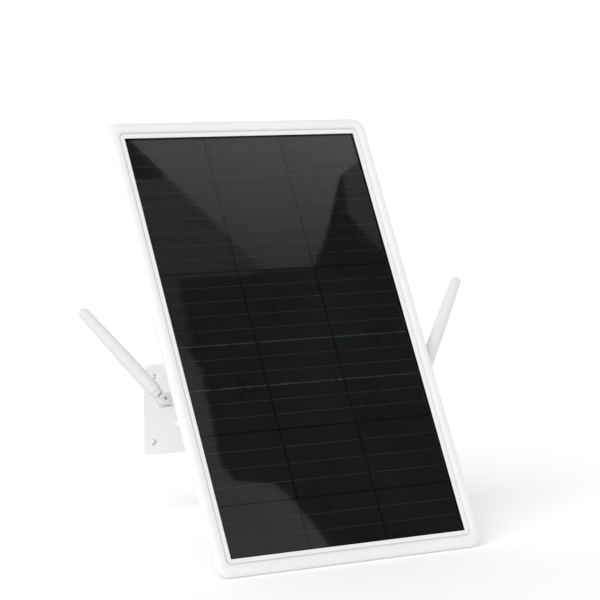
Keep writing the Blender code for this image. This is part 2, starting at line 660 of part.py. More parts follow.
def build_electronics(panel):
    half_x, half_z = BOARD_SIZE[0] / 2, BOARD_SIZE[1] / 2
    board_z = BOARD_CENTRE[1]
    board = prism("main_board", rounded_rectangle(half_x, half_z, 3 * MM, 3), *BOARD_DEPTH)
    add_piece("main_board", board, "circuit_board", panel, (0, 0, board_z))

    shield_top = BOARD_DEPTH[0] - GAP
    shield = prism("radio_shield", rounded_rectangle(24 * MM, 17 * MM, 1.5 * MM, 3),
                   shield_top - 3.5 * MM, shield_top, 0.4 * MM)
    add_piece("radio_shield", shield, "steel", panel, (20 * MM, 0, board_z - 4 * MM))

    cell_radius, cell_length = 9.2 * MM, 65 * MM
    cell_depth, first_height, pitch = 27 * MM, 133 * MM, 19.6 * MM
    tray_half_x = cell_length / 2 + 4 * MM
    tray_low = first_height - cell_radius - 3 * MM
    tray_high = first_height + pitch + cell_radius + 3 * MM
    tray = add_piece("battery_holder", box(
        "battery_holder", (-tray_half_x, cell_depth, tray_low),
        (tray_half_x, cell_depth + cell_radius + 2.4 * MM, tray_high)),
        "black_plastic", panel)
    for number in range(2):
        height = first_height + number * pitch
        place = (0, cell_depth, height)
        cut(tray, rod_mesh("cell_bed", cell_radius + GAP, -cell_length / 2 - GAP,
                           cell_length / 2 + GAP, 24), place, ALONG_X)
        cap = 2.8 * MM
        profile = [(0.0, -cell_length / 2), (cell_radius - 0.6 * MM, -cell_length / 2),
                   (cell_radius, -cell_length / 2 + 0.6 * MM),
                   (cell_radius, cell_length / 2 - 2.2 * MM),
                   (cell_radius - 0.8 * MM, cell_length / 2 - 1.4 * MM),
                   (cap, cell_length / 2 - 1.4 * MM), (cap, cell_length / 2),
                   (0.0, cell_length / 2)]
        name = "battery_cell_%d" % (number + 1)
        add_piece(name, turned(name, profile), "battery_wrap", panel, place, ALONG_X)

    for side, sign in SIDES.items():
        start = sign * (HOUSING_HALF_WIDTH - 11.5 * MM)
        board_edge = sign * half_x
        route = [(start, ANTENNA_DEPTH, ANTENNA_HEIGHT),
                 (start - sign * 12 * MM, ANTENNA_DEPTH, ANTENNA_HEIGHT),
                 (start - sign * 26 * MM, ANTENNA_DEPTH + 3 * MM, ANTENNA_HEIGHT + 12 * MM),
                 (board_edge + sign * 14 * MM, 31 * MM, board_z - 6 * MM),
                 (board_edge, 33.2 * MM, board_z),
                 (board_edge - sign * 8 * MM, 34.2 * MM, board_z)]
        add_lead("antenna_lead_" + side, route, 1.0 * MM, "black_plastic", panel)
    route = [(0, BACKSHEET_FRONT + BACKSHEET_THICKNESS + GAP, board_z + 20 * MM),
             (0, 14 * MM, board_z + 20 * MM), (0, 22 * MM, board_z + 20 * MM),
             (-6 * MM, 29 * MM, board_z + 18 * MM), (-10 * MM, 34.4 * MM, board_z + 16 * MM)]
    add_lead("panel_lead", route, 1.6 * MM, "black_plastic", panel)


# ---- tilt yoke -------------------------------------------------------------
def build_yoke(panel):
    """Flange with two ears behind the housing, and the bolt that holds the arm."""
    flange_front = HOUSING_BACK + GAP
    flange_back = flange_front + 5 * MM
    flange = prism("tilt_yoke", rounded_rectangle(37 * MM, 33 * MM, 7 * MM, 6),
                   flange_front, flange_back, 0.8 * MM)
    yoke = add_piece("tilt_yoke", flange, "white_coated_metal", panel,
                     (0, 0, PIVOT_HEIGHT))
    inner = FRONT_LUG_HALF + 2 * GAP
    root = PIVOT_DEPTH - flange_back + 1.5 * MM
    for sign in (-1, 1):
        low, high = sorted((sign * inner, sign * (inner + EAR_THICKNESS)))
        ear = prism("ear", eye_outline(LUG_RADIUS - 1 * MM, root), low, high, 0.8 * MM)
        # the neck is turned toward the flange
        join(yoke, ear, (0, PIVOT_DEPTH, PIVOT_HEIGHT), (0, 0, math.radians(-90)))
    cut(yoke, rod_mesh("bore", BOLT_BORE, -40 * MM, 40 * MM),
        (0, PIVOT_DEPTH, PIVOT_HEIGHT), ALONG_X)
    for number, (x, height) in enumerate(yoke_screw_places(), 1):
        cut(yoke, rod_mesh("screw_hole", 2.1 * MM, 30 * MM, 60 * MM), (x, 0, height),
            ALONG_DEPTH)
        name = "yoke_screw_%d" % number
        add_piece(name, screw_mesh(name, 9.6 * MM), "steel", panel,
                  (x, flange_back + GAP, height), ALONG_DEPTH)

    outside = inner + EAR_THICKNESS + GAP
    washer = 1.4 * MM
    for side, sign in SIDES.items():
        name = "tilt_washer_" + side
        add_piece(name, washer_mesh(name), "steel", panel,
                  (sign * outside, PIVOT_DEPTH, PIVOT_HEIGHT),
                  ALONG_X if sign > 0 else ALONG_MINUS_X)
    head = outside + washer + GAP
    bolt = bolt_mesh("tilt_bolt", 2 * head + 9 * MM)
    add_piece("tilt_bolt", bolt, "steel", panel, (head, PIVOT_DEPTH, PIVOT_HEIGHT), ALONG_X)
    add_piece("tilt_nut", nut_mesh("tilt_nut"), "steel", panel,
              (-head, PIVOT_DEPTH, PIVOT_HEIGHT), ALONG_MINUS_X)


# ---- antennas --------------------------------------------------------------
def build_antenna(panel, side, sign):
    """Jack in the housing wall, a swivelling base, and a rod that folds on a pin."""
    outward = ALONG_X if sign > 0 else ALONG_MINUS_X
    wall = HOUSING_HALF_WIDTH
    flange_end = wall + 2.8 * MM
    barrel_end = wall + 12 * MM
    name = "antenna_jack_" + side
    jack = turned(name, [
        (0.0, wall - 10.9 * MM), (2.4 * MM, wall - 10.9 * MM), (4.0 * MM, wall - 9 * MM),
        (4.0 * MM, wall + GAP), (6.2 * MM, wall + GAP, 6),
        (6.2 * MM, flange_end - 0.4 * MM, 6), (5.8 * MM, flange_end),
        (3.2 * MM, flange_end), (3.2 * MM, barrel_end), (0.0, barrel_end)], 18)
    add_piece(name, jack, "brass", panel, (0, ANTENNA_DEPTH, ANTENNA_HEIGHT), outward)

    swivel = add_empty("antenna_%s_swivel" % side, panel,
                       (sign * ANTENNA_PIVOT_X, ANTENNA_DEPTH, ANTENNA_HEIGHT),
                       (ANTENNA_TURN[side], 0, 0))
    start = flange_end + GAP - ANTENNA_PIVOT_X          # measured outward from the pivot
    bore_end = barrel_end + GAP - ANTENNA_PIVOT_X
    name = "antenna_base_" + side
    collar = turned(name, [
        (0.0, bore_end), (3.6 * MM, bore_end), (3.6 * MM, start), (6.3 * MM, start),
        (6.9 * MM, start + 0.7 * MM), (6.9 * MM, start + 9 * MM),
        (KNUCKLE_RADIUS, start + 10 * MM), (KNUCKLE_RADIUS, -11 * MM), (0.0, -11 * MM)])
    base = add_piece(name, collar, "white_plastic", swivel, (0, 0, 0), outward)
    fork = prism("fork", eye_outline(KNUCKLE_RADIUS, 13 * MM), -KNUCKLE_HALF, KNUCKLE_HALF,
                 1.5 * MM)
    join(base, fork, (0, 0, 0), (0, math.radians(90 + 90 * sign), 0))
    slot_reach = 8.3 * MM                               # inward, clear of the tongue
    slot_ends = sorted((-sign * slot_reach, sign * 30 * MM))
    slot = box("slot", (slot_ends[0], -TONGUE_HALF - GAP, -12 * MM),
               (slot_ends[1], TONGUE_HALF + GAP, 12 * MM))
    cut(base, slot)
    cut(base, rod_mesh("pin_hole", PIN_RADIUS + GAP, -12 * MM, 12 * MM), (0, 0, 0),
        ALONG_DEPTH)
    name = "antenna_pin_" + side
    pin = turned(name, [
        (0.0, -KNUCKLE_HALF), (PIN_RADIUS - 0.4 * MM, -KNUCKLE_HALF),
        (PIN_RADIUS, -KNUCKLE_HALF + 0.4 * MM), (PIN_RADIUS, KNUCKLE_HALF - 0.4 * MM),
        (PIN_RADIUS - 0.4 * MM, KNUCKLE_HALF), (0.0, KNUCKLE_HALF)], 16)
    add_piece(name, pin, "steel", swivel, (0, 0, 0), ALONG_DEPTH)

    fold = add_empty("antenna_%s_fold" % side, swivel, (0, 0, 0),
                     (0, ANTENNA_SPLAY[side], 0))
    tip_radius, base_radius, shoulder = 5.7 * MM, 7.9 * MM, 8.4 * MM
    profile = [(0.0, shoulder), (5.8 * MM, shoulder), (6.5 * MM, shoulder + 0.8 * MM),
               (6.7 * MM, shoulder + 4.4 * MM), (7.4 * MM, shoulder + 5.2 * MM),
               (base_radius, shoulder + 6.8 * MM)]
    profile += arc((0, ANTENNA_LENGTH - tip_radius), tip_radius, 3, 84, 7)
    profile.append((0.0, ANTENNA_LENGTH))
    name = "antenna_rod_" + side
    rod = add_piece(name, turned(name, profile), "white_plastic", fold)
    # the tongue's eye is about the fold axis and its neck runs up into the rod
    tongue = prism("tongue", eye_outline(6.0 * MM, shoulder + 3 * MM, 5.2 * MM),
                   -TONGUE_HALF, TONGUE_HALF, 0.4 * MM)
    join(rod, tongue, (0, 0, 0), (0, math.radians(-90), 0))
    cut(rod, rod_mesh("pin_hole", PIN_RADIUS + GAP, -12 * MM, 12 * MM), (0, 0, 0),
        ALONG_DEPTH)


def main():
    clear_scene()
    build_wall_plate()
    build_arm()
    tilt = add_empty("tilt_axis", None, (0, -ARM_REACH, 0), (-TILT, 0, 0))
    panel = add_empty("panel_origin", tilt, (0, -PIVOT_DEPTH, -PIVOT_HEIGHT))
    build_front_frame(panel)
    build_laminate(panel)
    build_rear_cover(panel)
    build_housing(panel)
    build_bottom_row(panel)
    build_electronics(panel)
    build_yoke(panel)
    for side, sign in SIDES.items():
        build_antenna(panel, side, sign)


main()
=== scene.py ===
"""Looks of the wall-held solar panel: fine meshes, materials, studio and camera."""
import json
import math

import bmesh
import bpy
from mathutils import Matrix, Vector


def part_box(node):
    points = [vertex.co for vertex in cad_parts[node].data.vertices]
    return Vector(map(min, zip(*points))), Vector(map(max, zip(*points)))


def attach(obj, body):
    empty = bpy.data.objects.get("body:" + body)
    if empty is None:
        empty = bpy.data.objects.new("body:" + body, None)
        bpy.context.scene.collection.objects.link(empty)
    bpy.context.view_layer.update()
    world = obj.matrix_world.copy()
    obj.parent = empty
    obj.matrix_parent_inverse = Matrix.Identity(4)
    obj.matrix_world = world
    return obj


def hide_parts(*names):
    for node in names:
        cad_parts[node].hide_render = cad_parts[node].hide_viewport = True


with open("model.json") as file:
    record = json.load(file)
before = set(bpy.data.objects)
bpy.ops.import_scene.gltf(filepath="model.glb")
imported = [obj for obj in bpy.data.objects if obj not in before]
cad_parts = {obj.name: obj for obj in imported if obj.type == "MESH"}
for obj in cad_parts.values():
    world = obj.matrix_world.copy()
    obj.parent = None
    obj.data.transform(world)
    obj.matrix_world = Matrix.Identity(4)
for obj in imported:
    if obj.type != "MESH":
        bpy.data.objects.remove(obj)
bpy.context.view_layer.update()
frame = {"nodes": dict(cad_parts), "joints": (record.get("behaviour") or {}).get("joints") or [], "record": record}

MM = 0.001
nodes = frame["nodes"]
joints = {joint["name"]: joint for joint in frame["joints"]}
body_of = {name: body for body, names in frame["record"]["behaviour"]["bodies"].items()
           for name in names}
slot_of = {part["node"]: part["material_slot"] for part in frame["record"]["subparts"]}


# ---- panel coordinates: x, depth back from the foremost plane, height up the panel ----
def panel_space():
    """Matrix that takes (x, depth, height) on the panel to the world at rest."""
    up_axis = Vector(joints["button_press"]["axis"]).normalized()
    depth_axis = up_axis.cross(Vector((1, 0, 0)))
    points = [vertex.co for vertex in nodes["front_frame"].data.vertices]
    depth = min(point.dot(depth_axis) for point in points)
    height = min(point.dot(up_axis) for point in points)
    matrix = Matrix((Vector((1, 0, 0)), depth_axis, up_axis)).transposed().to_4x4()
    matrix.translation = depth_axis * depth + up_axis * height
    return matrix


PANEL = panel_space()
PANEL_INVERSE = PANEL.inverted()


def box_in(space, node):
    """A node's lowest and highest corners in the given space."""
    inverse = space.inverted()
    points = [inverse @ vertex.co for vertex in nodes[node].data.vertices]
    low = Vector([min(point[axis] for point in points) for axis in range(3)])
    high = Vector([max(point[axis] for point in points) for axis in range(3)])
    return low, high


# ---- camera --------------------------------------------------------------
CAMERA_AIM = Vector((-0.0367, -0.3313, 0.1613))
CAMERA_AZIMUTH = math.radians(-32.59)    # from straight before the wall, toward the left
CAMERA_ELEVATION = math.radians(5.74)
CAMERA_DISTANCE = 2.871
CAMERA_LENS, SENSOR_WIDTH = 156.0, 36.0  # millimetres


def add_camera():
    """The photo's view, through a long lens."""
    data = bpy.data.cameras.new("camera")
    data.lens = CAMERA_LENS
    data.sensor_width = SENSOR_WIDTH
    data.clip_end = 100.0
    camera = bpy.data.objects.new("camera", data)
    bpy.context.collection.objects.link(camera)
    away = Vector((math.sin(CAMERA_AZIMUTH) * math.cos(CAMERA_ELEVATION),
                   -math.cos(CAMERA_AZIMUTH) * math.cos(CAMERA_ELEVATION),
                   math.sin(CAMERA_ELEVATION)))
    camera.location = CAMERA_AIM + away * CAMERA_DISTANCE
    camera.rotation_euler = (-away).to_track_quat("-Z", "Y").to_euler()
    bpy.context.scene.camera = camera
    return camera


camera = add_camera()


# ---- material graphs -----------------------------------------------------
class Graph:
    """A material's node tree with short calls for adding and linking nodes."""

    def __init__(self, name, colour, roughness, metallic=0.0, specular=0.5):
        self.material = bpy.data.materials.new(name)
        self.material.use_nodes = True
        self.tree = self.material.node_tree
        self.shader = self.tree.nodes["Principled BSDF"]
        self.output = self.tree.nodes["Material Output"]
        self.shader.inputs["Base Color"].default_value = (*colour, 1.0)
        self.shader.inputs["Roughness"].default_value = roughness
        self.shader.inputs["Metallic"].default_value = metallic
        self.shader.inputs["Specular IOR Level"].default_value = specular
        self.place = self.add("ShaderNodeTexCoord").outputs["Object"]

    def add(self, kind, **inputs):
        """A new node, with each named input set to a value or linked to a socket."""
        node = self.tree.nodes.new(kind)
        for name, value in inputs.items():
            self.set(node.inputs[name.replace("_", " ")], value)
        return node

    def set(self, socket, value):
        if isinstance(value, bpy.types.NodeSocket):
            self.tree.links.new(value, socket)
        else:
            socket.default_value = value

    def math(self, operation, first, second=0.0, third=0.0):
        node = self.tree.nodes.new("ShaderNodeMath")
        node.operation = operation
        for socket, value in zip(node.inputs, (first, second, third)):
            self.set(socket, value)
        return node.outputs[0]

    def axis(self, index):
        """The piece's own X, Y or Z."""
        split = self.add("ShaderNodeSeparateXYZ", Vector=self.place)
        return split.outputs[index]

    def noise(self, scale, detail=3.0, stretch=(1, 1, 1)):
        mapping = self.add("ShaderNodeMapping", Vector=self.place)
        mapping.inputs["Scale"].default_value = stretch
        noise = self.add("ShaderNodeTexNoise", Scale=scale, Detail=detail)
        self.set(noise.inputs["Vector"], mapping.outputs[0])
        return noise.outputs["Fac"]

    def spread(self, value, low, high, source_low=0.3, source_high=0.7):
        """The value taken from its source range to the range from low to high."""
        node = self.tree.nodes.new("ShaderNodeMapRange")
        for name, setting in (("Value", value), ("From Min", source_low),
                              ("From Max", source_high), ("To Min", low), ("To Max", high)):
            self.set(node.inputs[name], setting)
        return node.outputs[0]

    def mix(self, factor, first, second):
        node = self.tree.nodes.new("ShaderNodeMix")
        node.data_type = "RGBA"
        sockets = [socket for socket in node.inputs if socket.enabled]
        self.set(sockets[0], factor)
        for socket, value in zip(sockets[1:], (first, second)):
            if not isinstance(value, bpy.types.NodeSocket):
                value = (*value, 1.0)
            self.set(socket, value)
        return [socket for socket in node.outputs if socket.enabled][0]

    def bump(self, height, distance, strength=1.0):
        node = self.add("ShaderNodeBump", Height=height, Distance=distance,
                        Strength=strength)
        return node.outputs[0]

    def shade(self, **inputs):
        """Set the shader's named inputs and give back the finished material."""
        for name, value in inputs.items():
            self.set(self.shader.inputs[name.replace("_", " ")], value)
        return self.material


def scaled(colour, factor):
    return tuple(channel * factor for channel in colour)


def moulded_plastic(name, colour, roughness, grain=0.03 * MM, pitch=0.7 * MM):
    """Satin moulded plastic: fine spark-eroded grain, faint flow marks and shine spots."""
    graph = Graph(name, colour, roughness)
    cloud = graph.noise(9.0, 4.0)
    tone = graph.mix(graph.spread(cloud, 0.0, 1.0), scaled(colour, 0.975), colour)
    shine = graph.spread(graph.noise(38.0, 5.0), roughness - 0.05, roughness + 0.07)
    texture = graph.noise(1.0 / pitch, 2.0)
    return graph.shade(Base_Color=tone, Roughness=shine,
                       Normal=graph.bump(texture, grain, 0.5), IOR=1.5)


def powder_coat(name, colour, roughness):
    """Powder coating on metal, with its orange-peel skin."""
    graph = Graph(name, colour, roughness)
    peel = graph.noise(420.0, 1.5)
    fine = graph.noise(1600.0, 2.0)
    height = graph.math("ADD", peel, graph.math("MULTIPLY", fine, 0.35))
    tone = graph.mix(graph.spread(graph.noise(14.0), 0.0, 1.0), scaled(colour, 0.96), colour)
    shine = graph.spread(peel, roughness - 0.06, roughness + 0.08)
    return graph.shade(Base_Color=tone, Roughness=shine,
                       Normal=graph.bump(height, 0.06 * MM, 0.6))


def plated_metal(name, colour, roughness):
    """Zinc or brass: turning marks along one direction and cloudy plating."""
    graph = Graph(name, colour, roughness, 1.0)
    marks = graph.noise(240.0, 6.0, (1, 1, 14))
    cloud = graph.noise(120.0, 4.0)
    tone = graph.mix(graph.spread(cloud, 0.0, 1.0), scaled(colour, 0.82), colour)
    shine = graph.spread(marks, roughness - 0.09, roughness + 0.12)
    return graph.shade(Base_Color=tone, Roughness=shine,
                       Normal=graph.bump(marks, 0.02 * MM, 0.5))


def matt_rubber(name, colour):
    """Moulded rubber with a fine grain and a little dust."""
    graph = Graph(name, colour, 0.75)
    grain = graph.noise(900.0, 3.0)
    dust = graph.noise(30.0, 5.0)
    tone = graph.mix(graph.spread(dust, 0.0, 1.0), scaled(colour, 0.85),
                     scaled(colour, 1.1))
    return graph.shade(Base_Color=tone, Roughness=graph.spread(grain, 0.65, 0.88),
                       Normal=graph.bump(grain, 0.05 * MM, 0.7))


def solar_cell_coat(name):
    """Dark anti-reflection coating with fine silver fingers up the panel."""
    base, tint = (0.0095, 0.0104, 0.0112), (0.0165, 0.0180, 0.0190)
    silver, contrast = (0.16, 0.165, 0.17), 0.2
    pitch, line_share = 1.35 * MM, 0.045
    graph = Graph(name, base, 0.06, specular=0.4)
    cloud = graph.noise(11.0, 4.0, (1, 1, 0.55))
    tone = graph.mix(graph.spread(cloud, 0.0, 1.0, 0.3, 0.72), base, tint)
    mottle = graph.spread(graph.noise(170.0, 3.0), 0.93, 1.07)
    beat = graph.math("PINGPONG", graph.math("DIVIDE", graph.axis(0), pitch), 0.5)
    finger = graph.math("LESS_THAN", beat, line_share)
    coated = graph.add("ShaderNodeVectorMath")
    coated.operation = "SCALE"
    graph.set(coated.inputs[0], tone)
    graph.set(coated.inputs["Scale"], mottle)
    colour = graph.mix(graph.math("MULTIPLY", finger, contrast), coated.outputs[0], silver)
    return graph.shade(Base_Color=colour, Roughness=graph.spread(cloud, 0.04, 0.06))


def tinned_wire(name):
    """Dull tinned copper, patchy where the sealing film covers it."""
    dull, bare = (0.021, 0.022, 0.024), (0.10, 0.104, 0.108)
    graph = Graph(name, dull, 0.12, specular=0.3)
    patch = graph.noise(430.0, 2.0)
    tone = graph.mix(graph.spread(patch, 0.0, 1.0, 0.3, 0.75), dull, bare)
    return graph.shade(Base_Color=tone, Roughness=graph.spread(patch, 0.08, 0.2))


def laminated_film(name, colour):
    """Black film bonded under the glass, so that it has no shine of its own."""
    graph = Graph(name, colour, 0.6, specular=0.05)
    cloud = graph.noise(60.0, 4.0)
    tone = graph.mix(graph.spread(cloud, 0.0, 1.0), scaled(colour, 0.7), colour)
    return graph.shade(Base_Color=tone, Roughness=graph.spread(cloud, 0.55, 0.7))


def cover_glass(name):
    """Clear front glass: see-through, with its mirror share from the Fresnel law."""
    graph = Graph(name, (1, 1, 1), 0.02)
    graph.tree.nodes.remove(graph.shader)
    haze = graph.spread(graph.noise(40.0, 3.0), 0.015, 0.035)
    mirror = graph.add("ShaderNodeBsdfGlossy", Roughness=haze)
    clear = graph.add("ShaderNodeBsdfTransparent")
    clear.inputs["Color"].default_value = (0.97, 0.985, 0.98, 1.0)
    share = graph.add("ShaderNodeFresnel", IOR=1.36)
    blend = graph.add("ShaderNodeMixShader")
    graph.set(blend.inputs[0], share.outputs[0])
    graph.set(blend.inputs[1], clear.outputs[0])
    graph.set(blend.inputs[2], mirror.outputs[0])
    graph.set(graph.output.inputs["Surface"], blend.outputs[0])
    return graph.material


def circuit_board(name):
    """Solder mask over copper tracks."""
    green, track = (0.012, 0.085, 0.035), (0.03, 0.17, 0.07)
    graph = Graph(name, green, 0.4)
    bricks = graph.add("ShaderNodeTexBrick", Vector=graph.place, Scale=160.0,
                       Mortar_Size=0.06)
    tone = graph.mix(bricks.outputs["Fac"], green, track)
    return graph.shade(Base_Color=tone, Roughness=graph.spread(graph.noise(400.0), 0.3, 0.5),
                       Normal=graph.bump(bricks.outputs["Fac"], 0.03 * MM, 0.6))


def status_lens(name):
    """Pale green light guide, moulded clear and glossy."""
    deep, pale = (0.16, 0.36, 0.22), (0.24, 0.5, 0.3)
    graph = Graph(name, (0.2, 0.42, 0.26), 0.12)
    cloud = graph.noise(300.0)
    tone = graph.mix(graph.spread(cloud, 0.0, 1.0), deep, pale)
    graph.shader.inputs["Coat Weight"].default_value = 0.6
    return graph.shade(Base_Color=tone, Roughness=graph.spread(cloud, 0.08, 0.2))


MATERIALS = {
    "frame_white": moulded_plastic("frame_white", (0.80, 0.805, 0.80), 0.33, 0.012 * MM),
    "cover_white": moulded_plastic("cover_white", (0.745, 0.75, 0.745), 0.48, 0.06 * MM,
                                   0.9 * MM),
    "antenna_white": moulded_plastic("antenna_white", (0.70, 0.705, 0.70), 0.45, 0.02 * MM),
    # The bracket's white is set lighter than the frame's. Part of that is the powder coat's own colour, and part
    # is painted light that makes up for the panel's shadow over the wall plate.
    "bracket_white": powder_coat("bracket_white", (0.90, 0.905, 0.90), 0.42),
    "solar_glass": cover_glass("solar_glass"),
    "silicon": solar_cell_coat("silicon"),
    "black_film": laminated_film("black_film", (0.003, 0.003, 0.0032)),
    "black_rubber": matt_rubber("black_rubber", (0.02, 0.02, 0.021)),
    "grey_rubber": matt_rubber("grey_rubber", (0.52, 0.53, 0.53)),
    "steel": plated_metal("steel", (0.66, 0.66, 0.67), 0.32),
    "wire_silver": tinned_wire("wire_silver"),
    "brass": plated_metal("brass", (0.78, 0.60, 0.30), 0.28),
    "circuit_board": circuit_board("circuit_board"),
    "battery_wrap": moulded_plastic("battery_wrap", (0.04, 0.13, 0.36), 0.35, 0.02 * MM),
    "black_plastic": moulded_plastic("black_plastic", (0.02, 0.02, 0.022), 0.5),
    "lens": status_lens("lens"),
}


# ---- mesh helpers ----------------------------------------------------------
def mesh_from(name, vertices, faces, sharp_angle=35.0):
    """A closed mesh, with its faces of many corners kept flat and the rest smooth."""
    mesh = bpy.data.meshes.new(name)
    shape = bmesh.new()
    corners = [shape.verts.new(point) for point in vertices]
    for face in faces:
        shape.faces.new([corners[index] for index in face])
    bmesh.ops.remove_doubles(shape, verts=shape.verts, dist=1e-6)
    bmesh.ops.recalc_face_normals(shape, faces=shape.faces)
    shape.to_mesh(mesh)
    shape.free()
    mesh.shade_smooth()
    mesh.set_sharp_from_angle(angle=math.radians(sharp_angle))
    for polygon in mesh.polygons:
        polygon.use_smooth = len(polygon.vertices) <= 4
    return mesh


def show(name, mesh, material, space=None):
    """Put a piece in the scene with its material, its mesh taken out of the given space."""
    if space is not None:
        mesh.transform(space)
    piece = bpy.data.objects.new(name, mesh)
    bpy.context.collection.objects.link(piece)
    piece.data.materials.clear()
    piece.data.materials.append(MATERIALS[material])
    return piece


def stands_for(piece, *names):
    """Ride the piece on its CAD nodes' body and hide them."""
    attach(piece, body_of[names[0]])
    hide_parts(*names)
    return piece


def add_trim(piece, node):
    """A piece with no CAD node of its own, which rides with a node's body."""
    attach(piece, body_of[node])
    return piece


def rounded_rectangle(half_x, half_z, radius, segments):
    """Outline about the origin, with so many segments to each corner."""
    points = []
    corners = ((1, 1, 0), (-1, 1, 90), (-1, -1, 180), (1, -1, 270))
    for sign_x, sign_z, start in corners:
        for step in range(segments + 1):
            angle = math.radians(start + 90 * step / segments)
            points.append((sign_x * (half_x - radius) + radius * math.cos(angle),
                           sign_z * (half_z - radius) + radius * math.sin(angle)))
    return points


def loft(name, rings, ring_shaped=False, sharp_angle=35.0):
    """Skin over rings of one length, with its ends closed or joined to each other."""
    count = len(rings[0])
    vertices = [point for ring in rings for point in ring]
    faces = []
    for row in range(len(rings) if ring_shaped else len(rings) - 1):
        here = row * count
        there = ((row + 1) % len(rings)) * count
        for index in range(count):
            after = (index + 1) % count
            faces.append((here + index, here + after, there + after, there + index))
    if not ring_shaped:
        faces.append(tuple(range(count)))
        faces.append(tuple(range((len(rings) - 1) * count, len(rings) * count)))
    return mesh_from(name, vertices, faces, sharp_angle)


def turned(name, profile, segments, flute=None, sharp_angle=35.0):
    """A profile of (radius, z) turned about Z. A flute scales its radius round the turn."""
    vertices, faces, rings = [], [], []
    for radius, height in profile:
        if radius == 0.0:
            rings.append([len(vertices)])
            vertices.append((0.0, 0.0, height))
            continue
        ring = []
        for step in range(segments):
            angle = 2 * math.pi * step / segments
            reach = radius * (flute(angle, height) if flute else 1.0)
            ring.append(len(vertices))
            vertices.append((reach * math.cos(angle), reach * math.sin(angle), height))
        rings.append(ring)
    pairs = list(zip(rings, rings[1:]))
    if profile[0][0] != 0.0:
        pairs.append((rings[-1], rings[0]))
    for lower, upper in pairs:
        for step in range(segments):
            after = (step + 1) % segments
            if len(lower) == 1:
                faces.append((lower[0], upper[step], upper[after]))
            elif len(upper) == 1:
                faces.append((lower[step], lower[after], upper[0]))
            else:
                faces.append((lower[step], lower[after], upper[after], upper[step]))
    return mesh_from(name, vertices, faces, sharp_angle)


def arc(centre, radius, start, end, steps):
    """Points of an arc between two angles in degrees."""
    points = []
    for step in range(steps + 1):
        angle = math.radians(start + (end - start) * step / steps)
        points.append((centre[0] + radius * math.cos(angle),
                       centre[1] + radius * math.sin(angle)))
    return points


def rounded_profile(points, radius, steps):
    """Round the corners of a (radius, z) profile whose ends stay where they are."""
    result = [points[0]]
    for before, corner, after in zip(points, points[1:], points[2:]):
        here = Vector(corner)
        back, ahead = Vector(before) - here, Vector(after) - here
        reach = min(radius, 0.45 * back.length, 0.45 * ahead.length)
        start, end = here + back.normalized() * reach, here + ahead.normalized() * reach
        for step in range(steps + 1):
            t = step / steps
            point = start.lerp(here, t).lerp(here.lerp(end, t), t)
            result.append((point[0], point[1]))
    result.append(points[-1])
    return result


def round_edges(piece, width, segments, angle):
    """Bevel the edges that turn by more than so many degrees, and shade the rest smooth."""
    piece.data.shade_smooth()
    bevel = piece.modifiers.new("Edge", "BEVEL")
    bevel.width = width
    bevel.segments = segments
    bevel.limit_method = "ANGLE"
    bevel.angle_limit = math.radians(angle)
    return bevel


# ---- refined copies of the CAD's hard pieces -------------------------------
def build_refined(node, width):
    """A node's own shape with coplanar facets merged and its edges rounded over."""
    mesh = nodes[node].data.copy()
    mesh.name = node + "_fine"
    shape = bmesh.new()
    shape.from_mesh(mesh)
    bmesh.ops.remove_doubles(shape, verts=shape.verts, dist=5e-6)
    bmesh.ops.dissolve_limit(shape, angle_limit=math.radians(0.6), verts=shape.verts,
                             edges=shape.edges)
    bmesh.ops.recalc_face_normals(shape, faces=shape.faces)
    shape.to_mesh(mesh)
    shape.free()
    piece = show(node + "_fine", mesh, slot_of[node])
    round_edges(piece, width, 2, 42.0)
    normals = piece.modifiers.new("Normals", "WEIGHTED_NORMAL")
    normals.weight = 100
    stands_for(piece, node)


REFINED = {                              # width of the rounded edge, in millimetres
    "wall_plate": 0.5, "arm_rear_lug": 0.6, "arm_front_lug": 0.6, "arm_tube": 0.4,
    "tilt_yoke": 0.6, "housing_shell": 0.5, "rear_cover": 0.35, "port_cover": 0.3,
    "pan_nut": 0.25, "tilt_nut": 0.25, "pan_bolt": 0.25, "tilt_bolt": 0.25,
}


# ---- panel face --------------------------------------------------------------
FRAME_SECTION = (                        # inset from the outer edge, depth, corner radius, mm
    # window edge, flat step and groove
    (19.5, 3.6, 0.5), (19.5, 3.0, 0.5), (19.44, 2.82, 0.55), (19.2, 2.72, 0.7),
    (15.0, 2.5, 5.4), (14.6, 2.62, 5.6), (14.4, 3.1, 5.8), (14.1, 3.9, 6.0),
    (13.4, 3.9, 6.2), (13.15, 3.1, 6.4), (13.0, 2.2, 6.5), (12.85, 1.7, 6.6),
    # rounded rim, from the groove over its crest to the side
    (12.6, 1.3, 6.8), (12.1, 0.95, 7.1), (11.4, 0.6, 7.5), (10.6, 0.34, 8.0),
    (9.8, 0.15, 8.5), (8.9, 0.04, 9.1), (8.0, 0.0, 9.8), (7.0, 0.03, 10.5),
    (6.0, 0.14, 11.1), (5.0, 0.38, 11.8), (4.0, 0.78, 12.4), (3.0, 1.36, 13.0),
    (2.0, 2.18, 13.6), (1.2, 3.06, 14.2), (0.6, 3.98, 14.6), (0.2, 4.9, 14.9),
    (0.0, 5.9, 15.0), (0.0, 7.2, 15.0), (0.08, 7.75, 15.0), (0.35, 8.3, 14.7),
    # rear edge, flat rear and the inner wall up to the ledge behind the window's edge
    (0.9, 8.65, 14.2), (1.6, 8.8, 13.6), (14.6, 8.8, 4.6), (15.0, 8.5, 4.2),
    (15.0, 3.6, 4.2),
)
GLASS_BORDER = FRAME_SECTION[0][0] * MM
FRAME_CORNER_SEGMENTS = 20


